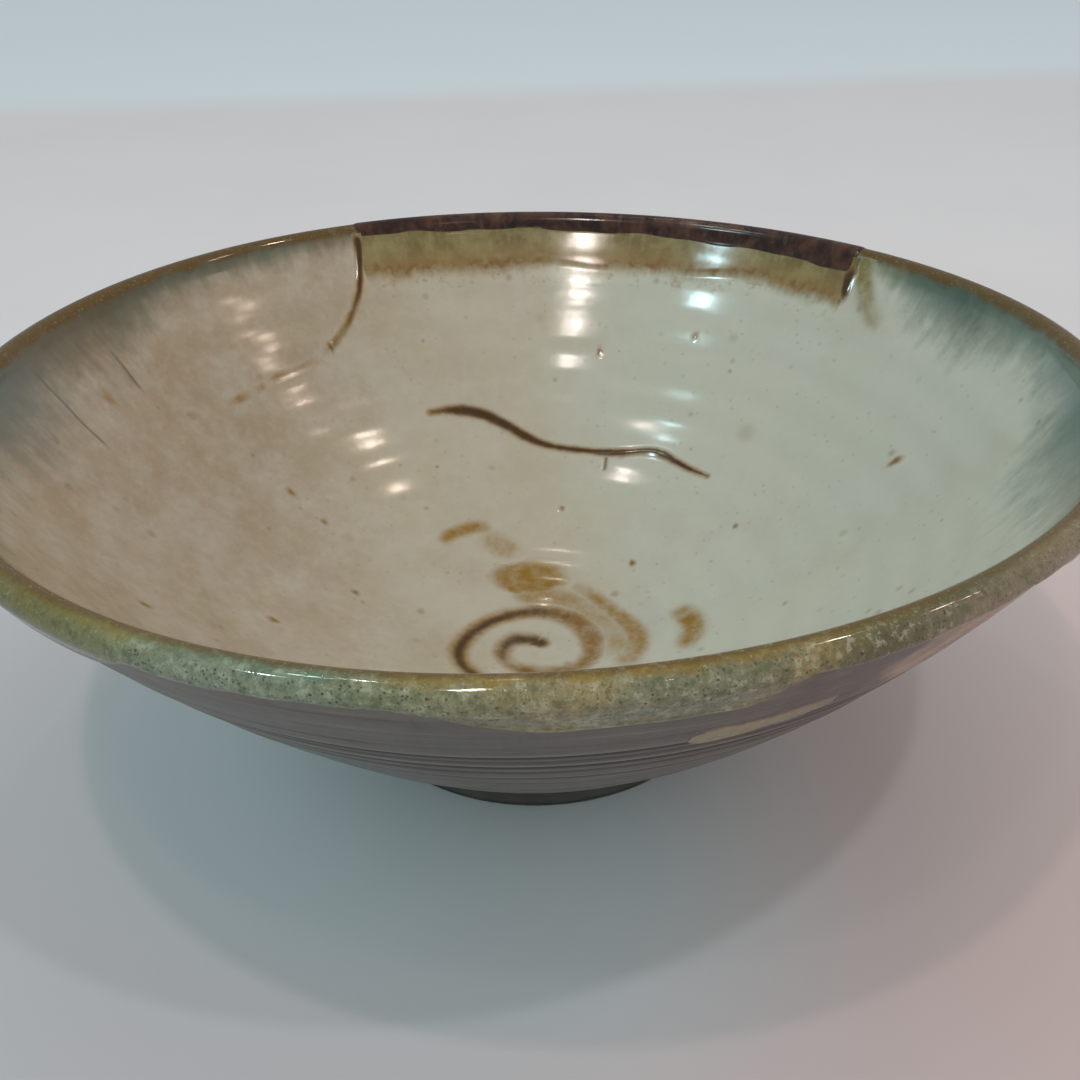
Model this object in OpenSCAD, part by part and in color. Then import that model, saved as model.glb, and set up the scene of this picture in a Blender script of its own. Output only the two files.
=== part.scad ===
// Wide wheel-thrown stoneware bowl, flared from a small foot ring, with a second
// glaze over the lip, an iron band round the back of it and iron brushwork inside.
// Millimetres. The origin is the middle of the foot, on the table, with +Z up.
// Directions round the bowl are degrees from +X towards +Y; -Y is the front.

/* [Bowl] */
// Outside diameter over the glazed lip
rim_d = 250; // [225:1:275]
// Height from the table to the top of the glazed lip
bowl_h = 93; // [84:1:102]
// Slope of the wall where it meets the lip, in degrees from level
rim_slope = 58; // [56:0.5:60]
// Thickness of the bare clay at the lip
lip_t = 3.6; // [3.2:0.1:4.4]
// Thickness of the clay floor in the middle
floor_t = 5; // [4:0.1:6]
// Number of throwing rings up the outside of the wall
ring_count = 9; // [6:1:12]
// Depth of the throwing rings close to the foot
ring_depth = 0.5; // [0.1:0.05:0.6]

/* [Foot] */
// Outside diameter of the foot ring where it meets the wall
foot_d = 92; // [84:1:100]
// Height of the foot ring
foot_h = 6.5; // [5:0.5:8]
// Width of the foot ring, from its outside to the recess under the floor
foot_w = 8; // [6:0.5:10]
// Bevel on the edges that meet the table
foot_bevel = 0.8; // [0.4:0.1:1.2]

/* [Glaze] */
// Thickness of the cream glaze inside and of the grey glaze outside
glaze_t = 0.6; // [0.4:0.05:0.8]
// Thickness of the second glaze over the lip
lip_glaze_t = 0.6; // [0.4:0.05:0.8]
// How far the lip glaze runs down the outside, below the top of the lip
lip_glaze_drop = 7.5; // [7.5:0.5:12]
// Height of the waves in the lip glaze's lower edge
lip_glaze_wave = 1.6; // [0.4:0.1:1.6]
// Bare clay between the grey glaze and the foot, in steps of the wall's outline
bare_steps = 2; // [1:1:4]

/* [Iron round the lip] */
// Thickness of all the iron, laid over the glaze
iron_t = 0.35; // [0.2:0.05:0.5]
// Where the band round the back of the lip starts, at its right end
band_from = 37.5; // [30:0.5:45]
// Where the band ends, at its left end
band_to = 114.5; // [105:0.5:125]
// Average reach of the amber run below the lip glaze, measured in plan
run_reach = 4.5; // [3.5:0.1:5.5]
// Depth of the ragged teeth in the amber run's lower edge
run_teeth = 1; // [0.3:0.1:1.4]
// Width of the thin drips at both ends of the amber run
drip_w = 1.6; // [1.2:0.1:2.2]
// Reach of the right drip, measured in plan
right_drip = 9; // [7:0.5:14]
// Reach of the left drip, measured in plan
left_drip = 18; // [10:0.5:22]

/* [Floor spiral] */
// Growth of the spiral in one turn
spiral_pitch = 12.6; // [11:0.1:13.5]
// Turns of dark line, from the middle out
dark_turns = 1.7; // [1.5:0.05:1.8]
// Width of the dark line at its widest
spiral_w = 2.4; // [1.6:0.1:3]
// Width of the amber tail that carries the spiral on
tail_w = 3.4; // [2:0.1:4.5]

/* [Wall line] */
// Where the S-shaped line on the back wall starts, at its right end
line_from = 44; // [40:1:50]
// Where the line ends, at its left end
line_to = 112; // [105:1:118]
// Distance of the line's low end from the axis
line_low_r = 70; // [66:0.5:74]
// How much farther out its high end lies
line_rise = 13; // [8:0.5:16]
// Width of the line where it is thickest
line_w = 2.8; // [1.8:0.1:3.6]

/* [Pale streak] */
// Where the pale streak on the outside starts
streak_from = 281.5; // [275:0.5:290]
// How far round the wall it runs
streak_sweep = 11; // [8:0.5:24]
// Height of its middle above the table
streak_z = 71.5; // [70:0.5:74]
// Half the height of the streak
streak_half = 2.8; // [1:0.1:4]

/* [Hidden] */
$fn = 180;

// Steps in the bowl's outline: floor to lip, over the lip, and lip to foot
inner_n = 30;
lip_n = 12;
outer_n = 6 * ring_count;
outside_i = inner_n + lip_n;
last_i = outside_i + outer_n;

// Steps where coats begin and end: the lip's crest, the lip glaze's edge inside,
// the band's edge outside, and the foot of the skirt that the lip glaze is cut from
crest_i = inner_n + lip_n / 2;
lip_edge_i = inner_n - 1;
band_i = crest_i + 2;
skirt_i = outside_i + ceil(outer_n / 7);

// The clay lip is half a circle, as wide as the wall is thick
lip_skin = glaze_t + lip_glaze_t;
lip_centre = [rim_d / 2 - lip_skin - lip_t / 2, bowl_h - lip_skin - lip_t / 2];
lip_side = lip_t / 2 * [sin(rim_slope), -cos(rim_slope)];

// Both faces of the wall leave the lip at its slope: the outside is a straight
// line and a cube of the way out from the foot, the inside a square and a fourth power
outer_foot = [foot_d / 2, foot_h];
outer_span = lip_centre + lip_side - outer_foot;
outer_straight = (3 - tan(rim_slope) * outer_span[0] / outer_span[1]) / 2;
inner_floor = [0, foot_h + floor_t];
inner_span = lip_centre - lip_side - inner_floor;
inner_square = (4 - tan(rim_slope) * inner_span[0] / inner_span[1]) / 2;

// The spiral's middle and its first radius, and the turns that its parts cover
spiral_centre = [-0.6, -1.7];
spiral_r0 = 1.4;
dark_from = 0.2;
inner_tail = [1.9, 2.35];
outer_tail = [2.93, 3.03];
steps_per_turn = 30;

// The wall line's fall from its high end, and the hump near its low end
fall_at = 95;
fall_softness = 4;
hump_at = 60;
hump_r = 2.4;
hump_softness = 7;
line_steps = 34;

// Steps in a drip, how far a full drip swings aside, and how much it thins
drip_steps = 8;
drip_swing = 9;
drip_thinning = 0.45;

// Steps round the bowl along a cut edge, in degrees
skirt_step = 3;
run_step = 1.5;

// ---- Outline of the bowl, pushed out by d from the bare clay ----

// Inside face, t running from 0 in the middle of the floor to 1 at the lip
function inner_point(t, d) =
    let (slope = atan(inner_span[1] / inner_span[0]
                      * (2 * inner_square * t + 4 * (1 - inner_square) * t ^ 3)))
    inner_floor
    + [inner_span[0] * t, inner_span[1] * (inner_square * t ^ 2 + (1 - inner_square) * t ^ 4)]
    + d * [-sin(slope), cos(slope)];

// Over the lip, t running from 0 on the inside to 1 on the outside
function lip_point(t, d) =
    let (turn = 90 + rim_slope - 180 * t)
    lip_centre + (lip_t / 2 + d) * [cos(turn), sin(turn)];

// Outside face, t running from 0 at the foot to 1 at the lip
function ring_dip(t) = ring_depth * sqrt(1 - t) * (1 - cos(360 * ring_count * t)) / 2;
function outer_point(t, d) =
    let (slope = atan(outer_span[1] / outer_span[0]
                      * (outer_straight + 3 * (1 - outer_straight) * t ^ 2)))
    outer_foot
    + [outer_span[0] * t, outer_span[1] * (outer_straight * t + (1 - outer_straight) * t ^ 3)]
    + (d - ring_dip(t)) * [sin(slope), -cos(slope)];

// Point i of the whole outline, from the middle of the floor over the lip to the foot
function skin(i, d) =
    i <= inner_n ? inner_point(i / inner_n, d)
    : i <= outside_i ? lip_point((i - inner_n) / lip_n, d)
    : outer_point((last_i - i) / outer_n, d);

// A coat on the bowl between steps i0 and i1, from d0 to d1 above the clay
module coat(i0, i1, d0, d1, sweep = 360)
    rotate_extrude(angle = sweep)
        polygon(concat([for (i = [i0:i1]) skin(i, d0)],
                       [for (i = [i1:-1:i0]) skin(i, d1)]));

// ---- Brushwork: a ribbon in plan, laid on the inside glaze ----

function polar(turn, r) = r * [cos(turn), sin(turn)];
function heading(path, i) =
    let (step = path[min(i + 1, len(path) - 1)] - path[max(i - 1, 0)])
    step / norm(step);
function beside(path, i, side) =
    path[i] + side * [-heading(path, i)[1], heading(path, i)[0]];
function ribbon(path, widths) =
    let (last = len(path) - 1)
    concat([for (i = [0:last]) beside(path, i, widths[i] / 2)],
           [for (i = [last:-1:0]) beside(path, i, -widths[i] / 2)]);

// A stroke is full in its middle and about a third as wide at its ends
function swell(i, last, w) = w * (1 + 2 * sin(180 * i / last)) / 3;
module brushstroke(path, w)
    let (last = len(path) - 1)
    intersection() {
        coat(0, inner_n, glaze_t, glaze_t + iron_t);
        linear_extrude(bowl_h) polygon(ribbon(path, [for (i = [0:last]) swell(i, last, w)]));
    }

// ---- Clay ----

module clay_body()
    color("#a08a72")
        rotate_extrude()
            polygon(concat([for (i = [0:last_i]) skin(i, 0)], [[0, foot_h]]));

module foot_ring()
    let (out = foot_d / 2, in = foot_d / 2 - foot_w)
    color("#2c2c27")
        rotate_extrude()
            polygon([[in, foot_h], [out, foot_h], [out, foot_bevel], [out - foot_bevel, 0],
                     [in + foot_bevel, 0], [in, foot_bevel]]);

// ---- Glazes ----

module inside_glaze() color("#b3b1a3") coat(0, crest_i, 0, glaze_t);

module outside_glaze() color("#514e49") coat(crest_i, last_i - bare_steps, 0, glaze_t);

// The lip glaze is a plain coat over the lip, and outside it a skirt whose lower
// edge wanders with three waves of different length
function wave(turn) = (sin(3 * turn + 40) + 0.6 * sin(7 * turn) + 0.4 * sin(16 * turn + 70)) / 2;
function lip_glaze_edge(turn) =
    lookup(bowl_h - lip_glaze_drop + lip_glaze_wave * wave(turn),
           [for (i = [last_i:-1:outside_i]) [skin(i, lip_skin)[1], skin(i, lip_skin)[0]]]);
module lip_glaze()
    color("#8b8459") {
        coat(lip_edge_i, outside_i, glaze_t, lip_skin);
        difference() {
            coat(outside_i, skirt_i, glaze_t, lip_skin);
            linear_extrude(bowl_h)
                polygon([for (turn = [0:skirt_step:360 - skirt_step])
                         polar(turn, lip_glaze_edge(turn))]);
        }
    }

// ---- Iron ----

module iron_rim_band()
    color("#3c2d28")
        rotate(band_from)
            coat(lip_edge_i, band_i, lip_skin, lip_skin + iron_t, band_to - band_from);

// The amber run hangs below the lip glaze, between the band's two ends
run_top = skin(lip_edge_i, glaze_t)[0];
function tooth(turn) = (sin(11 * turn) + 0.7 * sin(29 * turn + 50) + 0.5 * sin(53 * turn)) / 2;
module ragged_run()
    polygon(concat(
        [for (turn = [band_from:run_step:band_to])
         polar(turn, run_top - run_reach + run_teeth * tooth(turn))],
        [for (turn = [band_to:-run_step:band_from]) polar(turn, rim_d / 2)]));
module drip(at, reach, swing) {
    path = [for (i = [0:drip_steps])
            let (t = i / drip_steps) polar(at + swing * t ^ 2, run_top + 1 - reach * t)];
    polygon(ribbon(path, [for (i = [0:drip_steps]) drip_w * (1 - drip_thinning * i / drip_steps)]));
}
module amber_run()
    color("#8f6c36")
        intersection() {
            coat(0, lip_edge_i, glaze_t, glaze_t + iron_t);
            linear_extrude(bowl_h) {
                ragged_run();
                drip(band_from + 0.5, right_drip, -drip_swing);
                drip(band_to - 0.5, left_drip, drip_swing);
            }
        }

function line_r(turn) =
    line_low_r + line_rise / (1 + exp((fall_at - turn) / fall_softness))
    + hump_r * exp(-((turn - hump_at) / hump_softness) ^ 2);
module wall_line()
    color("#3a3020")
        brushstroke([for (i = [0:line_steps])
                     let (turn = line_from + (line_to - line_from) * i / line_steps)
                     polar(turn, line_r(turn))],
                    line_w);

function spiral_path(from, to) =
    let (steps = ceil(steps_per_turn * (to - from)))
    [for (i = [0:steps])
     let (turns = from + (to - from) * i / steps)
     spiral_centre + polar(360 * turns, spiral_r0 + spiral_pitch * turns)];

module floor_spiral() color("#3f2f1c") brushstroke(spiral_path(dark_from, dark_turns), spiral_w);

module spiral_tail()
    color("#8f6c36") {
        brushstroke(spiral_path(inner_tail[0], inner_tail[1]), tail_w);
        brushstroke(spiral_path(outer_tail[0], outer_tail[1]), tail_w);
    }

// ---- Pale glaze that settled along one throwing ring outside ----

module pale_streak()
    color("#a89a78")
        rotate(streak_from)
            intersection() {
                coat(outside_i, last_i, glaze_t, glaze_t + iron_t, streak_sweep);
                translate([0, 0, streak_z - streak_half]) cylinder(r = rim_d, h = 2 * streak_half);
            }

clay_body();
foot_ring();
inside_glaze();
outside_glaze();
lip_glaze();
iron_rim_band();
amber_run();
wall_line();
floor_spiral();
spiral_tail();
pale_streak();
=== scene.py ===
import math

import bmesh
import bpy
import numpy as np
from mathutils import Matrix, Vector


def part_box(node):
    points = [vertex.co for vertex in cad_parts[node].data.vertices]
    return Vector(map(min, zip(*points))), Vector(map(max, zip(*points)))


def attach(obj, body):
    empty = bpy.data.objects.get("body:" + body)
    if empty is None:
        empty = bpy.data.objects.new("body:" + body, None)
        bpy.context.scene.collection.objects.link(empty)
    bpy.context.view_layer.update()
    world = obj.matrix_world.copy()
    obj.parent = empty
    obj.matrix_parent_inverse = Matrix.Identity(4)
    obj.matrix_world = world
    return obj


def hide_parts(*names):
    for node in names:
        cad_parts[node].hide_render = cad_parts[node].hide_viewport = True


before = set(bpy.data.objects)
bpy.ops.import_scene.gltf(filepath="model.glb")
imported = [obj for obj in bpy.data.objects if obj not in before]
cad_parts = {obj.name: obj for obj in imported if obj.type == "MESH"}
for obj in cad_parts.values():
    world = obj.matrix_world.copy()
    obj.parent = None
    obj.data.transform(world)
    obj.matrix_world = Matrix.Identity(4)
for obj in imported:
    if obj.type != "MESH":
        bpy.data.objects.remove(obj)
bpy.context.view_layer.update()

# ---- Sizes, from the CAD frame --------

MM = 0.001
RIM_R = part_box("lip_glaze")[1][0]
LIP_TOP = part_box("lip_glaze")[1][2]
FOOT_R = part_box("foot_ring")[1][0]
FOOT_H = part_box("foot_ring")[1][2]
FLOOR_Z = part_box("inside_glaze")[0][2]

GLAZE = 0.6 * MM
LIP_SKIN = 1.2 * MM
CLAY_LIP = 3.6 * MM
RIM_SLOPE = math.radians(58)
FOOT_W = 8 * MM
BARE = 3 * MM
# A coat over the glaze starts a little under its surface, and its underside is deeper yet
SUNK = 0.03 * MM
ROOT = 0.09 * MM

LIP_R = RIM_R - LIP_SKIN - CLAY_LIP / 2
LIP_Z = LIP_TOP - LIP_SKIN - CLAY_LIP / 2
SIDE = (CLAY_LIP / 2 * math.sin(RIM_SLOPE), -CLAY_LIP / 2 * math.cos(RIM_SLOPE))
OUT_R, OUT_Z = LIP_R + SIDE[0] - FOOT_R, LIP_Z + SIDE[1] - FOOT_H
OUT_STRAIGHT = (3 - math.tan(RIM_SLOPE) * OUT_R / OUT_Z) / 2
IN_R, IN_Z = LIP_R - SIDE[0], LIP_Z - SIDE[1] - FLOOR_Z
IN_SQUARE = (4 - math.tan(RIM_SLOPE) * IN_R / IN_Z) / 2

# The spiral that a finger left on the floor: its middle, first radius and growth per turn
SPIRAL_AT = (-0.2 * MM, -2.0 * MM)
SPIRAL_R0 = 2.2 * MM
SPIRAL_PITCH = 12.1 * MM


# ---- The bowl's outline --------

def outline(k):
    """Bare clay: k runs from 0 in the middle of the floor to 1 at the lip, over it to 2,
    and down the outside to 3 at the foot. Returns r, z and the way out of the clay."""
    k = np.asarray(k, float)
    t = np.clip(k, 0, 1)
    slope = np.arctan(IN_Z / IN_R * (2 * IN_SQUARE * t + 4 * (1 - IN_SQUARE) * t ** 3))
    inside = (IN_R * t, FLOOR_Z + IN_Z * (IN_SQUARE * t ** 2 + (1 - IN_SQUARE) * t ** 4),
              -np.sin(slope), np.cos(slope))
    turn = math.pi / 2 + RIM_SLOPE - math.pi * (np.clip(k, 1, 2) - 1)
    lip = (LIP_R + CLAY_LIP / 2 * np.cos(turn), LIP_Z + CLAY_LIP / 2 * np.sin(turn),
           np.cos(turn), np.sin(turn))
    t = np.clip(3 - k, 0, 1)
    slope = np.arctan(OUT_Z / OUT_R * (OUT_STRAIGHT + 3 * (1 - OUT_STRAIGHT) * t ** 2))
    outside = (FOOT_R + OUT_R * t,
               FOOT_H + OUT_Z * (OUT_STRAIGHT * t + (1 - OUT_STRAIGHT) * t ** 3),
               np.sin(slope), -np.cos(slope))
    return [np.where(k <= 1, a, np.where(k <= 2, b, c)) for a, b, c in zip(inside, lip, outside)]


K_LINE = np.linspace(0, 3, 6001)
_r, _z, _, _ = outline(K_LINE)
LENGTH = np.concatenate([[0], np.cumsum(np.hypot(np.diff(_r), np.diff(_z)))])
CREST = float(np.interp(1.5, K_LINE, LENGTH))


def length_at(k):
    """Distance along the outline from the middle of the floor."""
    return np.interp(k, K_LINE, LENGTH)


def k_at(length):
    return np.interp(length, LENGTH, K_LINE)


def k_below_crest(distance):
    """k at a distance from the lip's crest along the outline: below 0 is inside."""
    return k_at(CREST + distance)


def bump_line(x, middle, width):
    return np.exp(-((x - middle) / width) ** 2)


def smooth(x, low, high):
    t = np.clip((x - low) / (high - low), 0, 1)
    return t * t * (3 - 2 * t)


# ---- Relief of the thrown clay --------

# Height of each finger line up the outside as a share of the bowl's, with its depth
FINGER_LINES = [(0.16, 0.36), (0.25, 0.42), (0.34, 0.36), (0.43, 0.44), (0.52, 0.32),
                (0.58, 0.40), (0.632, 0.30), (0.672, 0.64), (0.708, 0.20), (0.740, 0.62),
                (0.80, 0.16)]


def inside_relief(k, az):
    """One finger spiral from the floor to the lip, deepest on the floor."""
    r, _, _, _ = outline(k)
    fade = np.exp(-(r / (35 * MM)) ** 2)
    x = r * np.cos(az) - SPIRAL_AT[0] * fade
    y = r * np.sin(az) - SPIRAL_AT[1] * fade
    run = length_at(k) + np.hypot(x, y) - r
    phase = (run - SPIRAL_R0) / SPIRAL_PITCH - np.arctan2(y, x) / math.tau
    depth = (0.10 + 0.26 * np.exp(-(run / (36 * MM)) ** 2)) * MM * smooth(run, 1 * MM, 7 * MM)
    drift = 0.05 * MM * np.sin(3 * az + run / (9 * MM)) * smooth(run, 30 * MM, 60 * MM)
    return (-depth * np.cos(math.tau * phase) + drift) * smooth(1 - k, 0, 0.08)


def finger_cuts(k, az, above=0.0):
    """Depth of the narrow finger lines outside, or of the place that far above each."""
    _, z, _, _ = outline(k)
    wander = 0.35 * MM * np.sin(az + 0.6) + 0.2 * MM * np.sin(2 * az)
    cut = 0 * (z + az)
    for share, depth in FINGER_LINES:
        here = LIP_TOP * share + wander + above
        cut = cut + depth * MM * bump_line(z, here, 0.60 * MM)
        cut = cut + 0.35 * depth * MM * bump_line(z, here - 1.6 * MM, 1.8 * MM)
    return cut


def outside_relief(k, az):
    """Finger lines with soft swells between them, on a wall pressed in a little."""
    _, z, _, _ = outline(k)
    swell = 0.16 * MM * np.sin(z / (2.6 * MM) + 0.4 * np.sin(az)) * smooth(-z, -0.78 * LIP_TOP, 0)
    return (swell - finger_cuts(k, az) - pressed(k, az) * MM) * smooth(k - 2, 0.02, 0.12)


def pressed(k, az):
    """How far the outer wall is pressed in, in millimetres, most at the front left."""
    _, z, _, _ = outline(k)
    turn = np.mod(az + math.radians(112) + math.pi, math.tau) - math.pi
    return (0.45 + 0.65 * bump_line(turn, 0, 0.45)) * bump_line(z, 0.5 * LIP_TOP, 0.27 * LIP_TOP)


def relief(k, az):
    return np.where(k < 1.5, inside_relief(k, az), outside_relief(k, az))


def settle(x, y, z):
    """The slight lean and egg shape that a hand-thrown rim has, none of it at the foot."""
    az = np.arctan2(y, x)
    share = np.clip((z - FOOT_H) / (LIP_TOP - FOOT_H), 0, 1) ** 1.5
    lift = -0.0097 * np.cos(az) - 0.0099 * np.sin(az) - 0.0084 * np.sin(2 * az)
    spread = 1 + share * (-0.0036 * np.cos(2 * az) + 0.0024 * np.sin(2 * az))
    return x * spread, y * spread, z + share * lift * RIM_R


def point(k, az, out):
    """World points on the bowl: out is the height above the bare clay's relief."""
    r, z, away_r, away_z = outline(k)
    out = out + relief(k, az)
    r, z = r + out * away_r, z + out * away_z
    return np.stack(settle(r * np.cos(az), r * np.sin(az), z), -1)


# ---- Mesh building --------

def lip_top(down):
    """Height of the glaze over the clay: the lip's thick coat thins out inside the bowl."""
    return GLAZE + (LIP_SKIN - GLAZE) * smooth(down, -7 * MM, -2.5 * MM)


def down_at(k):
    """Distance along the outline from the lip's crest: below 0 is inside the bowl."""
    return length_at(k) - CREST


def grid_faces(rows, columns, start, closed, flip):
    """Quads of a grid of vertices that begins at number start."""
    i, j = np.meshgrid(np.arange(rows - 1), np.arange(columns if closed else columns - 1),
                       indexing="ij")
    near, far = i * columns + start, (i + 1) * columns + start
    after = (j + 1) % columns
    quads = np.stack([near + j, far + j, far + after, near + after], -1).reshape(-1, 4)
    return quads[:, ::-1] if flip else quads


def border(ids):
    """The loop of vertices round the edge of an open grid."""
    loop = np.concatenate([ids[0, :-1], ids[:-1, -1], ids[-1, :0:-1], ids[:0:-1, 0]])
    return np.append(loop, loop[0])


def seam_faces(top, under):
    """Quads between two loops of vertices of the same length."""
    return np.stack([top[:-1], top[1:], under[1:], under[:-1]], -1)


def slab(top, under, closed, ends=(0, -1)):
    """Faces of a thin solid: a grid of points above, a grid of points below, and edges.
    A closed grid that starts in a single point has an edge only at its last row."""
    rows, columns = top.shape[:2]
    ids = np.arange(rows * columns).reshape(rows, columns)
    faces = [grid_faces(rows, columns, 0, closed, False),
             grid_faces(rows, columns, ids.size, closed, True)]
    if closed:
        for row in ends:
            loop = np.append(ids[row], ids[row, 0])
            faces.append(seam_faces(loop, loop + ids.size))
    else:
        loop = border(ids)
        faces.append(seam_faces(loop, loop + ids.size))
    return np.concatenate([top.reshape(-1, 3), under.reshape(-1, 3)]), np.concatenate(faces)


def make_piece(name, parts, material, nodes=()):
    """One smooth mesh from a list of (points, faces, values per point), riding the bowl."""
    start, verts, faces, values = 0, [], [], {}
    for points, quads, data in parts:
        verts.append(points)
        faces.append(quads + start)
        start += len(points)
        for key, value in data.items():
            values.setdefault(key, []).append(value)
    mesh = bpy.data.meshes.new(name)
    mesh.from_pydata(np.concatenate(verts).tolist(), [], np.concatenate(faces).tolist())
    for key, value in values.items():
        attribute = mesh.attributes.new(key, "FLOAT", "POINT")
        attribute.data.foreach_set("value", np.concatenate(value).astype(np.float32))
    weld(mesh)
    mesh.shade_smooth()
    mesh.set_sharp_from_angle(angle=math.radians(40))
    mesh.materials.append(material)
    piece = bpy.data.objects.new(name, mesh)
    bpy.context.scene.collection.objects.link(piece)
    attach(piece, "root")
    if nodes:
        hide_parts(*nodes)
    return piece


def weld(mesh):
    """Joins points that coincide, as at the middle of the floor, and faces outwards."""
    bm = bmesh.new()
    bm.from_mesh(mesh)
    bmesh.ops.remove_doubles(bm, verts=bm.verts, dist=1e-7)
    bmesh.ops.recalc_face_normals(bm, faces=bm.faces)
    bm.to_mesh(mesh)
    bm.free()


def coat(k, az, top, under, closed=True, ends=(0, -1), **values):
    """A coat on the bowl. k, top, under and the values are grids with a row per step
    along the outline and a column per direction in az, a full turn or an arc."""
    shape = (k.shape[0], len(az))
    k, around = np.broadcast_to(k, shape), np.broadcast_to(az, shape)
    top, under = np.broadcast_to(top, shape), np.broadcast_to(under, shape)
    points, faces = slab(point(k, around, top), point(k, around, under), closed, ends)
    values["down"] = down_at(k) / MM
    flat = {key: np.tile(np.broadcast_to(v, shape).ravel(), 2) for key, v in values.items()}
    return points, faces, flat


def full_turn(steps):
    return np.linspace(0, math.tau, steps, endpoint=False)


def arc(start, end, steps):
    return np.radians(np.linspace(start, end, steps))


def wavy(az, waves):
    """A sum of sines round the bowl: each wave is (count, size, start in degrees)."""
    return sum(size * np.sin(count * az + math.radians(start)) for count, size, start in waves)


# ---- Strokes laid on the inside of the wall --------

def through(points, steps):
    """A smooth line through points in millimetres, as seen from above."""
    p = np.array([points[0]] + list(points) + [points[-1]], float) * MM
    t = np.linspace(0, 1, steps // (len(points) - 1) + 1)[:-1, None]
    out = []
    for a, b, c, d in zip(p, p[1:], p[2:], p[3:]):
        out.append(0.5 * (2 * b + (c - a) * t + (2 * a - 5 * b + 4 * c - d) * t ** 2
                          + (3 * b - a - 3 * c + d) * t ** 3))
    return np.concatenate(out + [p[-1:]])


def below_lip(turn, down):
    """Where a direction in degrees and a distance down from the lip in millimetres are, as
    seen from above, in millimetres."""
    r = outline(k_below_crest(down * MM))[0] / MM
    return r * math.cos(math.radians(turn)), r * math.sin(math.radians(turn))


def around(points, steps):
    """A smooth line through (degrees, distance down from the lip in millimetres)."""
    return through([below_lip(*point) for point in points], steps)


def along(line, values):
    """One value, or a few spread evenly along a line and blended between."""
    values = np.atleast_1d(values)
    return np.interp(np.linspace(0, 1, len(line)), np.linspace(0, 1, len(values)), values)


def blot(x, y, size, longer=1.0, turn=0.0, spread=1.1, height=0.1, iron=0.8, amber=0.8):
    """A speck of iron at a place in millimetres: size is its width, and longer and turn
    stretch it in one direction."""
    around_it = full_turn(20)[None]
    out = np.linspace(0, 1, 8)[:, None]
    edge = size / 2 * (1 + 0.18 * np.sin(3 * around_it + 7 * x) + 0.12 * np.sin(5 * around_it + y))
    reach = (edge + spread) * out
    turn = math.radians(turn)
    u, v = reach * np.cos(around_it) * longer, reach * np.sin(around_it)
    xy = np.stack([x + u * math.cos(turn) - v * math.sin(turn),
                   y + u * math.sin(turn) + v * math.cos(turn)], -1) * MM
    off = (reach - edge) * MM
    return on_wall(xy, off, edge * MM, spread, height, iron, amber, True)


def on_wall(xy, off, half, spread, height, iron, amber, closed):
    """A thin solid over plan points on the inside of the bowl. off is the distance
    outside the mark's edge, and the mark sinks into the glaze beyond it. Its iron and
    amber are strongest in the middle and fade out over the spread."""
    k, az = np.hypot(xy[..., 0], xy[..., 1]) / IN_R, np.arctan2(xy[..., 1], xy[..., 0])
    base = lip_top(down_at(k))
    iron, amber, height = (np.reshape(value, (-1, 1)) for value in (iron, amber, height))
    rise = height * MM * smooth(-off, -0.6 * spread * MM, 0.9 * half) - SUNK
    rise = rise + 0.06 * MM * smooth(-off, -spread * MM, -0.7 * spread * MM)
    points, faces = slab(point(k, az, base + rise), point(k, az, base - ROOT), closed, (-1,))
    core = smooth(-off, -0.7 * np.minimum(spread * MM, half), 1.0 * half)
    halo = smooth(-off, -0.95 * spread * MM, 0.6 * half)
    values = {"iron": iron * core, "amber": amber * halo, "down": down_at(k) / MM}
    return points, faces, {key: np.tile(v.ravel(), 2) for key, v in values.items()}


def stroke(line, width, spread, height, iron=1.0, amber=1.0):
    """A brushed line with feathered sides. width, height and the strengths of its two
    colours are each one value or a few along the line; spread is the feather's width."""
    width, height, iron, amber = (along(line, value) for value in (width, height, iron, amber))
    step = np.gradient(line, axis=0)
    step /= np.linalg.norm(step, axis=1, keepdims=True)
    aside = np.stack([-step[:, 1], step[:, 0]], -1)
    half = width[:, None] * MM / 2
    across = np.linspace(-1, 1, 17)[None]
    reach = (half + spread * MM) * across
    xy = line[:, None] + aside[:, None] * reach[..., None]
    gap = np.linalg.norm(np.diff(line, axis=0), axis=1).mean()
    end = np.minimum(np.arange(len(line)), np.arange(len(line))[::-1])[:, None] * gap
    off = np.hypot(np.abs(reach), np.maximum(half + spread * MM - end, 0)) - half
    off = np.where(end < half + spread * MM, off, np.abs(reach) - half)
    return on_wall(xy, off, half, spread, height, iron, amber, False)


# ---- Materials --------

def paint(red, green, blue):
    """A colour as the eye names it, from 0 to 255, in the linear values Blender uses."""
    return tuple(((c / 255 + 0.055) / 1.055) ** 2.4 if c > 10 else c / 3295
                 for c in (red, green, blue)) + (1.0,)


def grey(value):
    return (value, value, value, 1.0)


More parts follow.
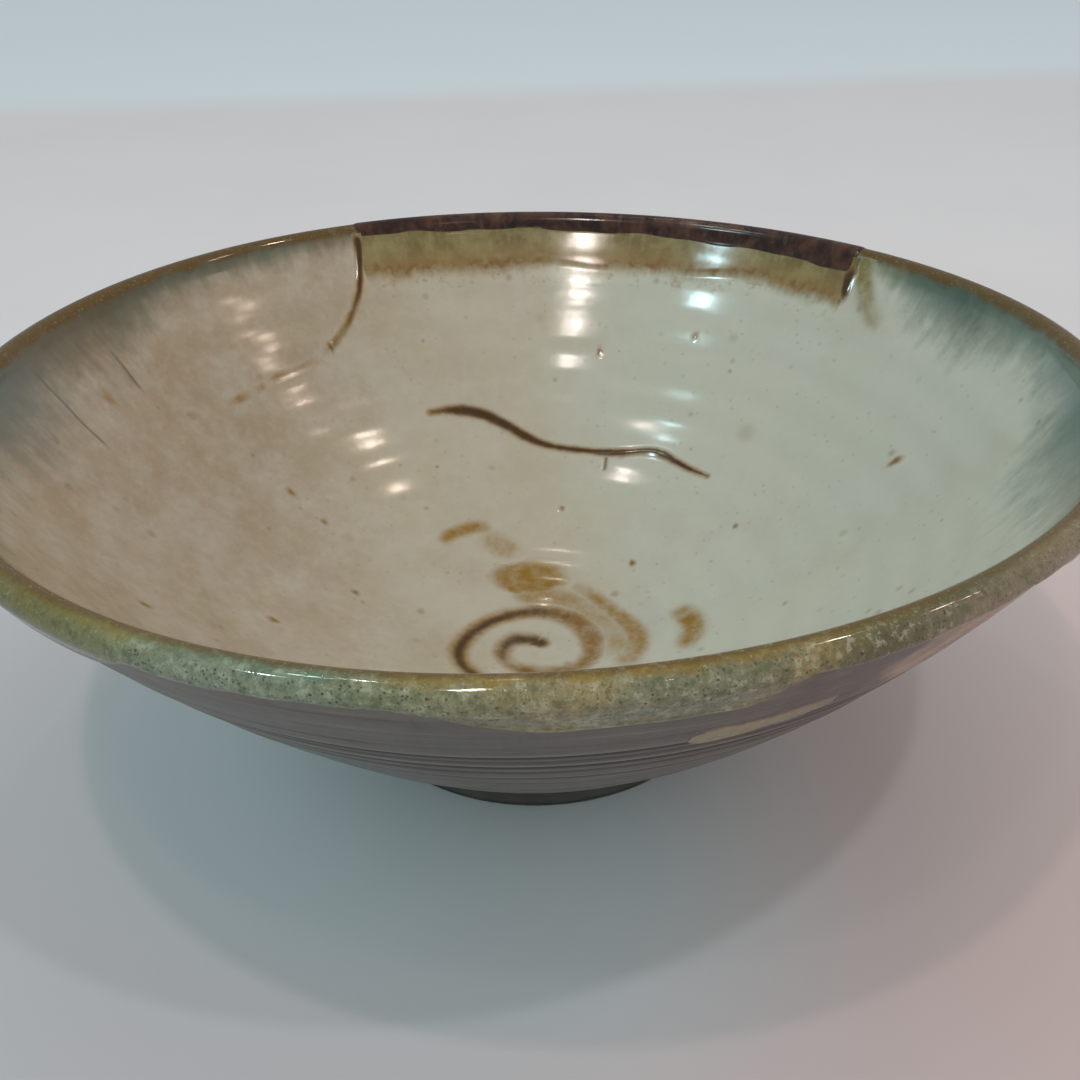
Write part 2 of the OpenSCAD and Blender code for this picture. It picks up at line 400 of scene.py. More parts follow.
class Nodes:
    """Builds one material. Each method adds a node and gives back its output."""

    def __init__(self, name):
        self.material = bpy.data.materials.new(name)
        self.material.use_nodes = True
        self.tree = self.material.node_tree
        self.tree.nodes.clear()
        self.place = self.add("ShaderNodeTexCoord").outputs["Object"]
        self.x, self.y, self.z = self.add("ShaderNodeSeparateXYZ", {0: self.place}).outputs
        self.r = self.math("SQRT", self.plus(self.times(self.x, self.x),
                                             self.times(self.y, self.y)))
        self.az = self.math("ARCTAN2", self.y, self.x)

    def add(self, kind, inputs=None, **settings):
        node = self.tree.nodes.new(kind)
        for key, value in settings.items():
            setattr(node, key, value)
        for key, value in (inputs or {}).items():
            if isinstance(value, bpy.types.NodeSocket):
                self.tree.links.new(value, node.inputs[key])
            else:
                node.inputs[key].default_value = value
        return node

    def math(self, operation, *values):
        return self.add("ShaderNodeMath", dict(enumerate(values)), operation=operation).outputs[0]

    def step(self, value, low, high, end=1.0):
        """Rises smoothly from 0 to end as the value goes from low to high, which may be
        the other way round."""
        start, stop = (low, high) if low < high else (high, low)
        ends = (0.0, end) if low < high else (end, 0.0)
        node = self.add("ShaderNodeMapRange", {0: value, 1: start, 2: stop, 3: ends[0], 4: ends[1]},
                        interpolation_type="SMOOTHSTEP")
        return node.outputs[0]

    def times(self, *values):
        out = values[0]
        for value in values[1:]:
            out = self.math("MULTIPLY", out, value)
        return out

    def plus(self, a, b):
        return self.math("ADD", a, b)

    def scale(self, value, by, start):
        """The value times one number, counted from another."""
        return self.math("MULTIPLY_ADD", value, by, start)

    def mix(self, amount, a, b):
        """Blends two colours. Each is another node's, or red, green and blue to 255."""
        a, b = (paint(*c) if isinstance(c, tuple) else c for c in (a, b))
        return self.add("ShaderNodeMix", {0: amount, 6: a, 7: b}, data_type="RGBA").outputs[2]

    def noise(self, size, detail=3.0, rough=0.55, at=None, seed=0.0):
        """Clouds from 0 to 1, with features of about size millimetres, or with at given,
        of about size in the units of at."""
        vector, scale = (self.place, 1 / (size * MM)) if at is None else (at, 1 / size)
        inputs = {"Vector": vector, "W": seed, "Scale": scale, "Detail": detail, "Roughness": rough}
        return self.add("ShaderNodeTexNoise", inputs, noise_dimensions="4D").outputs[0]

    def stray(self, size, reach, seed=0.0):
        """Clouds from about minus reach to reach."""
        return self.scale(self.noise(size, 4, 0.6, seed=seed), 4 * reach, -2 * reach)

    def dots(self, size, chosen, radius, soft=0.5):
        """Scattered dots. Cells are size millimetres wide, a chosen share of them hold a
        dot, radius is a share of a cell, and soft a share of the radius."""
        node = self.add("ShaderNodeTexVoronoi", {"Vector": self.place, "Scale": 1 / (size * MM)})
        pick, vary, _ = self.add("ShaderNodeSeparateColor", {0: node.outputs["Color"]}).outputs
        reach = self.scale(vary, radius, 0.5 * radius)
        reach = self.times(self.math("LESS_THAN", pick, chosen), reach)
        share = self.math("DIVIDE", node.outputs["Distance"], self.plus(reach, 1e-4))
        return self.step(share, 1.0 + soft, 1.0 - soft)

    def runs(self, width, length, seed=0.0):
        """Streaks that run down the wall, width and length in millimetres, from 0 to 1."""
        at = self.add("ShaderNodeCombineXYZ",
                      {0: self.times(self.az, LIP_R / (width * MM)),
                       1: self.math("DIVIDE", self.value("down"), length)}).outputs[0]
        return self.noise(1.0, 4, 0.6, at, seed)

    def value(self, name):
        return self.add("ShaderNodeAttribute", attribute_name=name).outputs["Fac"]

    def wheel(self, stops, wander=0.0, seed=3.0):
        """A colour or a share for every direction: stops are (degrees, red, green, blue) or
        (degrees, share), blended between. wander moves them about by that many degrees."""
        turn = self.math("DIVIDE", self.az, math.tau)
        if wander:
            turn = self.plus(turn, self.stray(9, wander / 360, seed))
        turn = self.math("FRACT", self.plus(turn, 1.0))
        marks = sorted((stop[0] % 360 / 360, paint(*stop[1:]) if stop[2:] else grey(stop[1]))
                       for stop in stops)
        seam = seam_colour(marks)
        elements = self.add("ShaderNodeValToRGB", {0: turn})
        ramp = elements.color_ramp.elements
        ramp.remove(ramp[1])
        ramp[0].position, ramp[0].color = 0.0, seam
        for position, colour in marks + [(1.0, seam)]:
            ramp.new(position).color = colour
        return elements.outputs[0]

    def finish(self, colour, roughness=0.12, height=None, depth=0.05):
        """The surface: glaze or clay, with a small relief of that depth in millimetres."""
        inputs = {"Base Color": colour, "Roughness": roughness, "IOR": 1.5}
        if height is not None:
            inputs["Normal"] = self.add("ShaderNodeBump", {"Strength": 1.0, "Distance": depth * MM,
                                                           "Height": height}).outputs[0]
        shader = self.add("ShaderNodeBsdfPrincipled", inputs)
        output = self.add("ShaderNodeOutputMaterial")
        self.tree.links.new(shader.outputs[0], output.inputs[0])
        return self.material


def seam_colour(marks):
    """The colour at due +X, between the last mark before it and the first after it."""
    (last, a), (first, b) = marks[-1], marks[0]
    share = (1 - last) / (1 - last + first)
    return tuple(p + (q - p) * share for p, q in zip(a, b))


# The wash that runs from the lip into the bowl: its colour by direction, going round from
# the right by the back and the left to the front
WASH = [(-45, 104, 96, 72), (-17, 84, 112, 106), (-4, 104, 124, 114),
        (8, 84, 104, 88), (18, 52, 78, 66), (28, 70, 96, 82),
        (36, 106, 108, 76), (75, 120, 104, 66), (118, 92, 78, 50),
        (124, 74, 84, 68), (150, 78, 86, 70), (160, 84, 78, 58),
        (170, 96, 94, 78), (182, 92, 102, 98), (200, 100, 104, 82),
        (235, 92, 78, 40), (262, 132, 100, 48), (290, 88, 84, 56)]
# How far it reaches down the wall, as a share of the span in millimetres
WASH_SPAN = 36
WASH_REACH = [(-45, 0.2), (-28, 0.85), (-17, 1.0), (-8, 0.55),
              (4, 0.40), (16, 0.60), (26, 0.50), (36, 0.20),
              (48, 0.2), (110, 0.2), (120, 0.28), (148, 0.36),
              (157, 0.60), (170, 0.66), (184, 0.8), (200, 0.5),
              (235, 0.3), (270, 0.14), (300, 0.2)]


def cream_colour(n):
    """Cream glaze: soft clouds, iron specks, a coloured wash that runs from the lip, and a
    side-to-side tint that is partly the glaze's own tone and partly painted light and shade.
    """
    down = n.value("down")
    # Warmer and darker towards the left, greener at the right: partly the glaze's own tone, partly
    # painted light and shade from the warm right lamp on the left wall and the cool left lamp on
    # the right wall
    tone_and_lamp_tint = n.plus(n.x, n.stray(40, 20 * MM, 9))
    colour = n.mix(n.step(tone_and_lamp_tint, 45 * MM, -15 * MM), (185, 189, 171), (181, 172, 148))
    colour = n.mix(n.step(tone_and_lamp_tint, -10 * MM, -95 * MM), colour, (156, 139, 113))
    clouds = n.step(n.noise(22, 5, 0.62), 0.40, 0.66, 0.30)
    colour = n.mix(clouds, colour, (194, 192, 178))
    rosy = n.step(n.noise(26, 4, 0.6, seed=5), 0.52, 0.70, 0.20)
    colour = n.mix(rosy, colour, (166, 144, 132))
    milk = n.step(n.noise(3.2, 5, 0.7, seed=8), 0.40, 0.66, 0.12)
    colour = n.mix(milk, colour, (204, 204, 194))
    for size, chosen, radius, strength, tint in SPECK_KINDS:
        amount = n.times(n.dots(size, chosen, radius, 0.8), strength)
        colour = n.mix(amount, colour, tint)
    for turn, top, low in HAIRLINES:
        colour = n.mix(run_line(n, turn, top, low), colour, (92, 84, 66))
    reach = n.times(n.wheel(WASH_REACH), WASH_SPAN)
    ragged = n.scale(n.runs(4, 18), 0.8, 0.40)
    ragged = n.plus(ragged, n.stray(8, 0.22, 2))
    share = n.math("DIVIDE", down, n.times(reach, ragged))
    wash = n.times(n.step(share, -1.4, -0.20), 0.92)
    return n.mix(wash, colour, n.wheel(WASH, 8))


# Hairline runs: direction in degrees, and distance from the lip of each end in millimetres
HAIRLINES = [(174, -6, -34), (160.4, -12, -29)]
# Specks in the cream glaze: cell in millimetres, share of cells, radius, strength, colour
SPECK_KINDS = [(2.4, 0.30, 0.15, 0.30, (144, 126, 98)),
               (6.5, 0.30, 0.11, 0.45, (126, 104, 76)),
               (15, 0.16, 0.050, 0.70, (112, 82, 52)),
               (19, 0.35, 0.085, 0.30, (146, 122, 84))]


def run_line(n, turn, top, low):
    """One hairline run down the wall, fading out at both ends."""
    aside = n.math("ABSOLUTE", n.math("SUBTRACT", n.az, math.radians(turn)))
    aside = n.plus(n.times(aside, n.r), n.stray(4, 0.12 * MM))
    down = n.value("down")
    ends = n.times(n.step(down, low, low + 5), n.step(down, top, top - 6))
    return n.times(n.step(aside, 0.75 * MM, 0.2 * MM), ends, 0.6)


def glaze_skin(n):
    """Height of a glassy glaze's slight orange peel."""
    return n.plus(n.noise(9, 2, 0.5), n.times(n.noise(1.2, 2), 0.07))


def glaze_gloss(n, low=0.09, high=0.19):
    """Roughness that varies in clouds, as glaze does where it cooled differently."""
    return n.scale(n.noise(18, 3, seed=11), high - low, low)


def cream_glaze():
    n = Nodes("cream_glaze")
    return n.finish(cream_colour(n), glaze_gloss(n), glaze_skin(n), 0.07)


# The lip's crest by direction, and the milky belt under it
LIP_CREST = [(-150, 91, 104, 87), (-140, 106, 104, 66), (-134, 106, 94, 42),
             (-128, 110, 98, 42), (-122, 126, 116, 58), (-117, 122, 124, 80),
             (-112, 96, 114, 88), (-106, 98, 118, 92), (-101, 112, 122, 88),
             (-98, 136, 122, 68), (-92, 140, 116, 52), (-86, 132, 110, 48),
             (-80, 127, 106, 49), (-74, 124, 106, 55), (-68, 106, 96, 54),
             (-62, 90, 88, 58), (-56, 98, 95, 66), (-50, 128, 115, 86),
             (-30, 120, 110, 84), (10, 82, 76, 54), (35, 70, 62, 42),
             (110, 68, 56, 40), (130, 74, 66, 44), (165, 80, 74, 50),
             (190, 84, 92, 74)]
LIP_BELT = [(-150, 102, 115, 102), (-136, 106, 104, 68), (-128, 116, 110, 66),
            (-120, 118, 122, 86), (-114, 124, 136, 114), (-106, 122, 136, 112),
            (-101, 118, 126, 98), (-98, 130, 132, 100), (-91, 136, 128, 92),
            (-88.5, 152, 136, 96), (-85, 130, 128, 100), (-80, 120, 121, 95),
            (-76, 128, 122, 92), (-73.5, 144, 128, 88), (-68, 92, 88, 62),
            (-58, 124, 112, 90), (-35, 132, 120, 98), (20, 100, 102, 82),
            (75, 100, 89, 66), (120, 93, 102, 82), (170, 102, 107, 87)]


def lip_glaze():
    """Green and ochre glaze: amber over the crest, milky and clotted below, with pinholes."""
    n = Nodes("green_ochre_glaze")
    down, edge, lobe = n.value("down"), n.value("edge"), n.value("lobe")
    belt = n.step(n.plus(down, n.stray(5, 0.9, 1)), -0.9, 0.4)
    colour = n.mix(belt, n.wheel(LIP_CREST, 3.5), n.wheel(LIP_BELT, 3, 8.0))
    inner = n.step(n.plus(down, n.stray(3, 0.4, 5)), -0.4, -1.4)
    colour = n.mix(n.times(inner, 0.85), colour, (96, 72, 32))
    clots = n.noise(2.0, 5, 0.72, seed=6)
    clotted = n.scale(belt, 0.75, 0.25)
    milky = n.times(clotted, n.step(n.math("ABSOLUTE", n.x), 0.56 * RIM_R, 0.40 * RIM_R))
    colour = n.mix(n.times(milky, n.step(clots, 0.53, 0.59, 0.45)), colour, (178, 183, 158))
    colour = n.mix(n.times(clotted, n.step(clots, 0.48, 0.41, 0.60)), colour, (84, 92, 64))
    fine = n.noise(0.8, 4, 0.75, seed=7)
    colour = n.mix(n.step(fine, 0.50, 0.30, 0.5), colour, (82, 70, 38))
    colour = n.mix(n.step(fine, 0.55, 0.72, 0.4), colour, (192, 186, 150))
    streaks = n.runs(0.9, 7, 2)
    colour = n.mix(n.times(belt, n.step(streaks, 0.52, 0.72), 0.18), colour, (186, 186, 164))
    film = n.times(n.math("SUBTRACT", 1.0, lobe), n.step(down, 2.2, 4.0))
    colour = n.mix(n.times(film, 0.85), colour, (84, 82, 70))
    holes = pinholes(n)
    colour = n.mix(n.times(holes, 0.85), colour, (44, 46, 34))
    line = n.step(n.plus(edge, n.stray(2, 0.25, 4)), 1.4, 0.4)
    colour = n.mix(n.times(line, lobe, 0.7), colour, (178, 182, 168))
    inside = n.step(n.plus(down, n.stray(5, 1.0, 1)), -2.2, -4.6)
    colour = n.mix(inside, colour, cream_colour(n))
    height = n.math("SUBTRACT", glaze_skin(n), n.times(holes, 1.2))
    height = n.plus(height, n.times(n.step(down, 0.8, 2.4), clots, 0.8))
    rough = n.plus(glaze_gloss(n, 0.04, 0.12), n.times(holes, 0.3))
    return n.finish(colour, rough, height, 0.10)


def pinholes(n):
    """Clusters of small dark pits in the glaze, mostly where it turns from green to milky."""
    down = n.value("down")
    cluster = n.step(n.noise(7, 3, 0.6, seed=9), 0.40, 0.52)
    green = n.wheel([(-126, 0.1), (-118, 1.0), (-99, 1.0), (-92, 0.7),
                     (-70, 0.9), (-50, 0.7), (60, 0.5), (180, 0.6)])
    near = n.times(n.step(down, -1.2, 0.8), n.step(down, 8.0, 4.0))
    coarse = n.dots(0.9, 0.45, 0.17, 0.35)
    fine = n.times(n.dots(0.6, 0.45, 0.24, 0.4), 0.8)
    return n.times(n.math("MAXIMUM", coarse, fine), cluster, green, near)


# Where the grey glaze is thin and breaks to a rosy tan, by direction
TAN = [(-74, 0.0), (-66, 0.18), (-60, 0.70), (-42, 0.95), (-15, 0.7),
       (30, 0.3), (100, 0.1), (130, 0.45), (160, 0.25), (200, 0.0),
       (240, 0.0)]


def grey_glaze():
    """Satin grey-brown glaze: dark in the finger lines, broken to tan over the swells."""
    n = Nodes("grey_glaze")
    down = n.value("down")
    clouds = n.step(n.noise(24, 4, 0.6), 0.35, 0.68)
    colour = n.mix(clouds, (88, 77, 69), (104, 92, 83))
    at = n.add("ShaderNodeCombineXYZ", {0: n.times(n.az, 2.6),
                                        1: n.math("DIVIDE", n.z, 1.5 * MM)}).outputs[0]
    rings = n.noise(1.0, 5, 0.65, at)
    colour = n.mix(n.step(rings, 0.51, 0.66, 0.75), colour, (58, 50, 45))
    colour = n.mix(n.step(rings, 0.49, 0.32, 0.62), colour, (138, 126, 114))
    brushed = n.step(n.runs(1.1, 9, 5), 0.42, 0.62, 0.25)
    colour = n.mix(brushed, colour, (114, 104, 94))
    high = n.step(n.plus(down, n.stray(14, 7.0, 4)), 40.0, 12.0)
    patchy = n.scale(n.runs(7, 16, 8), 2.6, -0.3)
    breaks = n.times(n.wheel(TAN, 3), high, patchy)
    breaks = n.plus(breaks, n.stray(10, 0.20, 6))
    rim = n.times(n.step(breaks, 0.04, 0.16), n.step(breaks, 0.40, 0.24))
    colour = n.mix(n.times(rim, 0.5), colour, (64, 53, 48))
    tan = n.mix(n.step(n.noise(5, 5, 0.68, seed=21), 0.38, 0.62), (154, 128, 109),
                (188, 163, 143))
    tan = n.mix(n.step(rings, 0.50, 0.66, 0.45), tan, (118, 98, 84))
    colour = n.mix(n.step(breaks, 0.16, 0.66, 0.90), colour, tan)
    colour = n.mix(n.step(n.value("ridge"), 0.25, 0.9, 0.6), colour, (142, 130, 118))
    colour = n.mix(n.step(n.value("groove"), 0.16, 0.80, 0.94), colour, (34, 30, 28))
    low = n.step(n.z, FOOT_H + 30 * MM, FOOT_H + 4 * MM)
    colour = n.mix(n.times(low, 0.35), colour, (72, 71, 64))
    colour = n.mix(n.times(n.dots(3, 0.3, 0.12), 0.4), colour, (44, 38, 34))
    height = n.plus(glaze_skin(n), n.times(rings, 0.8))
    rough = n.scale(clouds, 0.12, 0.28)
    return n.finish(colour, rough, height, 0.10)


def iron_over(name, light=(128, 88, 30), pale=(146, 116, 54)):
    """Iron brushed on the cream glaze: dark in the line, amber round it, and bare cream at
    the feathered sides. light and pale are the colours of the amber."""
    n = Nodes(name)
    fray = n.plus(n.stray(5, 0.32, 7), n.stray(1.4, 0.16, 2))
    ragged = n.times(n.value("amber"), n.plus(fray, 1.0))
    patchy = n.scale(n.step(n.noise(4, 4, 0.6, seed=3), 0.25, 0.6), 0.4, 0.6)
    halo = n.times(n.step(ragged, 0.0, 1.1), patchy)
    core = n.step(n.plus(n.value("iron"), n.times(fray, 0.3)), 0.10, 0.95)
    amber = n.mix(n.noise(3, 4, 0.6), light, pale)
    colour = n.mix(halo, cream_colour(n), amber)
    burnt = n.mix(n.noise(1.6, 3), (42, 24, 8), (84, 54, 20))
    colour = n.mix(n.times(core, 0.95), colour, burnt)
    return n.finish(colour, glaze_gloss(n), glaze_skin(n), 0.07)


def band_glaze():
    """Dark iron round the back of the lip, thin and amber at its lower edge."""
    n = Nodes("dark_iron_band")
    low = n.plus(n.value("low"), n.stray(5, 0.7, 2))
    dark = n.mix(n.step(n.noise(6, 4, 0.65, seed=3), 0.35, 0.7), (38, 22, 18), (84, 54, 40))
    dark = n.mix(n.step(n.runs(3, 6, 4), 0.5, 0.75, 0.5), dark, (100, 82, 60))
    colour = n.mix(n.step(low, -0.2, 1.3), run_body(n), dark)
    return n.finish(colour, glaze_gloss(n, 0.08, 0.24), glaze_skin(n), 0.08)


def run_body(n):
    """Olive amber of the run under the band, browner towards its lower edge."""
    body = n.mix(n.step(n.noise(8, 4, 0.65), 0.35, 0.65), (112, 98, 58), (140, 130, 88))
    body = n.mix(n.step(n.runs(2, 10, 9), 0.5, 0.7, 0.3), body, (160, 150, 116))
    brown = n.step(n.value("down"), -8.0, -15.0, 0.6)
    return n.mix(brown, body, n.mix(n.noise(3, 4), (130, 98, 48), (160, 138, 92)))


def run_glaze():
    """Olive amber that hangs below the band in short ragged runs and beads."""
    n = Nodes("amber_iron_run")
    left = n.value("left")
    fine = n.scale(n.runs(3.0, 14, 2), 4.6, -2.3)
    edge = n.plus(n.plus(left, fine), n.stray(4, 1.0, 6))
    beads = n.times(n.step(edge, 5.5, 2.6), n.step(edge, 0.4, 2.4),
                    n.step(n.noise(2.4, 3, 0.6, seed=4), 0.40, 0.65, 0.75))
    colour = n.mix(beads, run_body(n), (118, 80, 36))
    colour = n.mix(n.step(edge, -2.6, 3.2), cream_colour(n), colour)
    scatter = n.times(n.step(edge, -10.0, -2.0), n.step(edge, 0.5, -1.0),
                      n.step(n.noise(4, 4, 0.65, seed=12), 0.52, 0.68), 0.5)
    colour = n.mix(scatter, colour, (146, 116, 70))
    return n.finish(colour, glaze_gloss(n), glaze_skin(n), 0.07)


def bare_clay(name, light, dark):
    """Fired stoneware with grog: gritty, matt, a little toasted."""
    n = Nodes(name)
    grain = n.noise(0.7, 4, 0.7)
    colour = n.mix(n.step(n.noise(9, 4), 0.3, 0.7), dark, light)
    colour = n.mix(n.step(grain, 0.5, 0.75, 0.35), colour, light)
    grit = n.dots(1.6, 0.4, 0.16)
    colour = n.mix(n.times(grit, 0.6), colour, (34, 28, 22))
    height = n.math("SUBTRACT", grain, n.times(grit, 0.4))
    return n.finish(colour, n.scale(grain, 0.2, 0.62), height, 0.18)


def pale_glaze():
    n = Nodes("pale_glaze")
    off = n.plus(n.value("off"), n.stray(3, 0.5))
    pale = n.mix(n.runs(1.5, 6), (134, 118, 88), (170, 158, 122))
    pale = n.mix(n.step(n.value("share"), 0.45, 1.0, 0.8), pale, (132, 112, 92))
    colour = n.mix(n.step(off, 0.3, -1.3), (68, 58, 52), pale)
    return n.finish(colour, glaze_gloss(n, 0.12, 0.22), glaze_skin(n), 0.1)


# ---- The pieces --------

def thrown_clay():
    """The bowl's own clay: seen at the bare line over the foot and in the foot's recess."""
    az = full_turn(256)
    k = np.concatenate([np.linspace(0, 1, 40), np.linspace(1, 2, 10)[1:],
                        np.linspace(2, 3, 60)[1:]])
    shell = point(k[:, None], az[None], 0.0)
    r = np.linspace(FOOT_R, 0, 60)[1:, None]
    trimmed = FOOT_H - 0.15 * MM * (1 - np.cos(r / (0.35 * MM)))
    base = np.stack([r * np.cos(az), r * np.sin(az), trimmed + 0 * az], -1)
    points = np.concatenate([shell, base])
    faces = grid_faces(points.shape[0], len(az), 0, True, False)
    make_piece("thrown_clay_body", [(points.reshape(-1, 3), faces, {})],
               bare_clay("bare_clay", (140, 118, 92), (112, 92, 70)), ["clay_body"])


def foot():
    """The foot ring, with rounded edges and the faint lines of the trimming tool."""
    az = full_turn(256)
    inner, bevel = FOOT_R - FOOT_W, 0.9 * MM
    bend = np.linspace(0, math.pi / 2, 7)
    side_z = np.linspace(FOOT_H, bevel, 14)
    side_r = FOOT_R - 0.10 * MM * (1 + np.sin(side_z / (0.4 * MM)))
    under_r = np.linspace(FOOT_R - 1.6 * bevel, inner + 1.6 * bevel, 9)
    under_z = 0.05 * MM * (1 + np.sin(under_r / (0.5 * MM)))
    r = np.concatenate([side_r, FOOT_R - bevel * (1 - np.cos(bend)), under_r,
                        inner + bevel * (1 - np.sin(bend)), [inner, inner]])
    z = np.concatenate([side_z, bevel * (1 - np.sin(bend)), under_z,
                        bevel * (1 - np.cos(bend)), [FOOT_H / 2, FOOT_H]])
    r, z = np.append(r, r[0])[:, None], np.append(z, z[0])[:, None]
    points = np.stack([r * np.cos(az), r * np.sin(az), z + 0 * az], -1).reshape(-1, 3)
    # The foot's clay is made darker and greyer than the bowl's own clay: painted shade, as the foot
    # stands under the bowl
    make_piece("foot_ring_clay", [(points, grid_faces(len(r), len(az), 0, True, False), {})],
               bare_clay("dark_clay", (84, 84, 76), (66, 67, 60)), ["foot_ring"])


def inside_coat():
    k = np.concatenate([np.linspace(0, 1, 136), np.linspace(1, 1.5, 8)[1:]])[:, None]
    make_piece("cream_glaze_coat", [coat(k, full_turn(360), GLAZE, 0.0, ends=(-1,))],
               cream_glaze(), ["inside_glaze"])


def outside_coat():
    az = full_turn(360)
    end = float(k_at(LENGTH[-1] - BARE))
    k = np.concatenate([np.linspace(1.5, 2, 8), np.linspace(2, end, 190)[1:]])[:, None]
    groove = finger_cuts(k, az[None]) / (0.5 * MM)
    ridge = finger_cuts(k, az[None], 1.5 * MM) / (0.5 * MM)
    make_piece("grey_glaze_coat", [coat(k, az, GLAZE, 0.0, groove=groove, ridge=ridge)],
               grey_glaze(), ["outside_glaze"])


# Where the lip glaze hangs low outside: from and to in degrees, and by what share
LIP_LOBES = [(-99, -73.6, 1.0), (-48, -22, 0.55), (-6, 21, 0.8), (52, 66, 0.4), (84, 122, 0.75),
             (141, 158, 0.5), (172, 206, 0.9), (-146, -120, 0.6)]
# How far it hangs outside between the lobes, how much further in one, and how far it
# reaches inside, all from the crest in millimetres, and the small waves of its edge
LIP_LEAST, LIP_HANG, LIP_INSIDE = 3.6, 6.0, 7.2
LIP_EDGE = [(5, 0.3, 40), (16, 0.26, 70), (31, 0.16, 20), (57, 0.12, 100), (83, 0.08, 9)]


def lobes(az):
    turn = np.degrees(az)
    total = 0 * turn
    for start, end, size in LIP_LOBES:
        x = np.mod(turn - start + 120, 360) - 120
        total = np.maximum(total, size * smooth(x, -2, 10) * smooth(end - start - x, -1.6, 3.0))
    return total


def lip_coat():
    """The second glaze: feathered inside, a rolled and wandering edge outside."""
    az = full_turn(960)
    lobe = lobes(az)
    low = (LIP_LEAST + LIP_HANG * lobe + wavy(az, LIP_EDGE)) * MM
    inner = -LIP_INSIDE * MM
    steps = np.concatenate([np.linspace(inner, 0, 16) / -inner, np.linspace(0, 1, 34)[1:]])[:, None]
    down = np.where(steps <= 0, -steps * inner, steps * low)
    edge = low - down
    close = smooth(edge, -0.05 * MM, (0.9 + 0.9 * (1 - lobe)) * MM)
    bead = 0.28 * MM * (0.2 + 0.8 * lobe) * bump_line(edge, 1.0 * MM, 0.8 * MM)
    top = lip_top(down) - SUNK + 0.05 * MM * smooth(down, inner, inner / 2)
    top = GLAZE + (top - GLAZE) * close + bead * close
    make_piece("lip_glaze_coat",
               [coat(k_below_crest(down), az, top, GLAZE - ROOT, edge=edge / MM, lobe=lobe)],
               lip_glaze(), ["lip_glaze"])


# The iron band: its two ends in degrees, and in millimetres its depth inside the lip at
# each end, and how far it reaches over the crest
BAND = (38.6, 115.3)
BAND_DEPTH = (9.0, 5.6)
BAND_OVER = 3.0 * MM
# How far the amber run under it reaches down, on average, in millimetres
RUN_DEPTH = 18.4


def band_coat():
    """Iron over the back of the lip, wider and thicker towards its right end."""
    az = arc(*BAND, 300)
    share = np.linspace(0, 1, 300)
    low = -(along(share, BAND_DEPTH) + wavy(az, [(19, 0.3, 0), (43, 0.2, 30)])) * MM
    down = low + (BAND_OVER - low) * np.linspace(0, 1, 30)[:, None]
    side = smooth(down - low, 0, 1.2 * MM) * smooth(BAND_OVER - down, 0, 1.5 * MM)
    side = side * smooth(np.minimum(share, 1 - share), 0, 0.012)
    top = lip_top(down) - SUNK + 0.33 * MM * side
    band = coat(k_below_crest(down), az, top, lip_top(down) - SUNK - ROOT, False,
                low=(down - low) / MM)
    make_piece("iron_band_coat", [band], band_glaze(), ["iron_rim_band"])


def run_coat():
    """The amber run: left is the distance up from its average lower edge."""
    az = arc(BAND[0] - 0.4, BAND[1] + 0.2, 360)
    lowest, highest = -29 * MM, -3.5 * MM
    down = np.linspace(lowest, highest, 70)[:, None] + 0 * az
    low = -(RUN_DEPTH + wavy(az, [(5, 0.7, 0), (11, 0.6, 40), (23, 0.5, 80)])) * MM
    left = down - low
    rise = 0.22 * MM * smooth(left, -0.5 * MM, 3 * MM) + 0.04 * MM * smooth(left, -9 * MM, -3 * MM)
    top = lip_top(down) - SUNK + rise
    run = coat(k_below_crest(down), az, top, lip_top(down) - SUNK - ROOT, False, left=left / MM)
    make_piece("amber_run_coat", [run], run_glaze(), ["amber_run"])


def drips(iron):
    """Thin runs at both ends of the band; the left one goes on as a faint broken line."""
    left = around([(115.2, -3), (115.6, -9), (116.3, -15), (117.6, -21.5), (120.3, -28.5),
                   (123, -32.8), (125.4, -35.8)], 120)
    faint = around([(125.6, -36), (132, -39.4), (138, -39.8), (142, -41), (148.4, -41),
                    (157, -38.6)], 150)
    parts = [stroke(left, (3.0, 1.9, 1.3, 1.1, 0.9), 1.1, 0.42,
                    (1, 1, 0.75, 0.45, 0.3), (1, 1, 0.9, 0.9, 0.9)),
             stroke(faint, (1.0, 0.7, 0.9, 0.7, 1.3, 0.8, 1.6), 0.9, 0.05, 0,
                    (0.7, 0.1, 0.6, 0.2, 0.8, 0.0, 0.7, 0.1, 0.9, 0.0, 0.0, 0.8)),
             blot(*below_lip(125.4, -35.8), 1.9, iron=0.55, amber=1.0),
             blot(*below_lip(166.5, -23.5), 2.4, spread=1.6, iron=0.0, amber=0.7)]
    make_piece("left_drip", parts, iron)
    wedge = around([(38.9, -2.6), (38.75, -8), (38.4, -13), (37.6, -18)], 60)
    dark = stroke(wedge, (5.6, 5.0, 3.2, 1.4), 1.4, 0.46)
    make_piece("right_drip", [dark], iron)
    stripe = around([(38.2, -2.4), (36.9, -7), (35.3, -12), (33, -17), (29, -21)], 60)
    olive = stroke(stripe, (3.4, 3.6, 3.2, 2.2, 1.0), 2.2, 0.14, 0, (1, 1, 0.8, 0.6, 0.4))
    make_piece("right_olive_run", [olive],
               iron_over("olive_iron", (112, 100, 44), (140, 128, 72)))


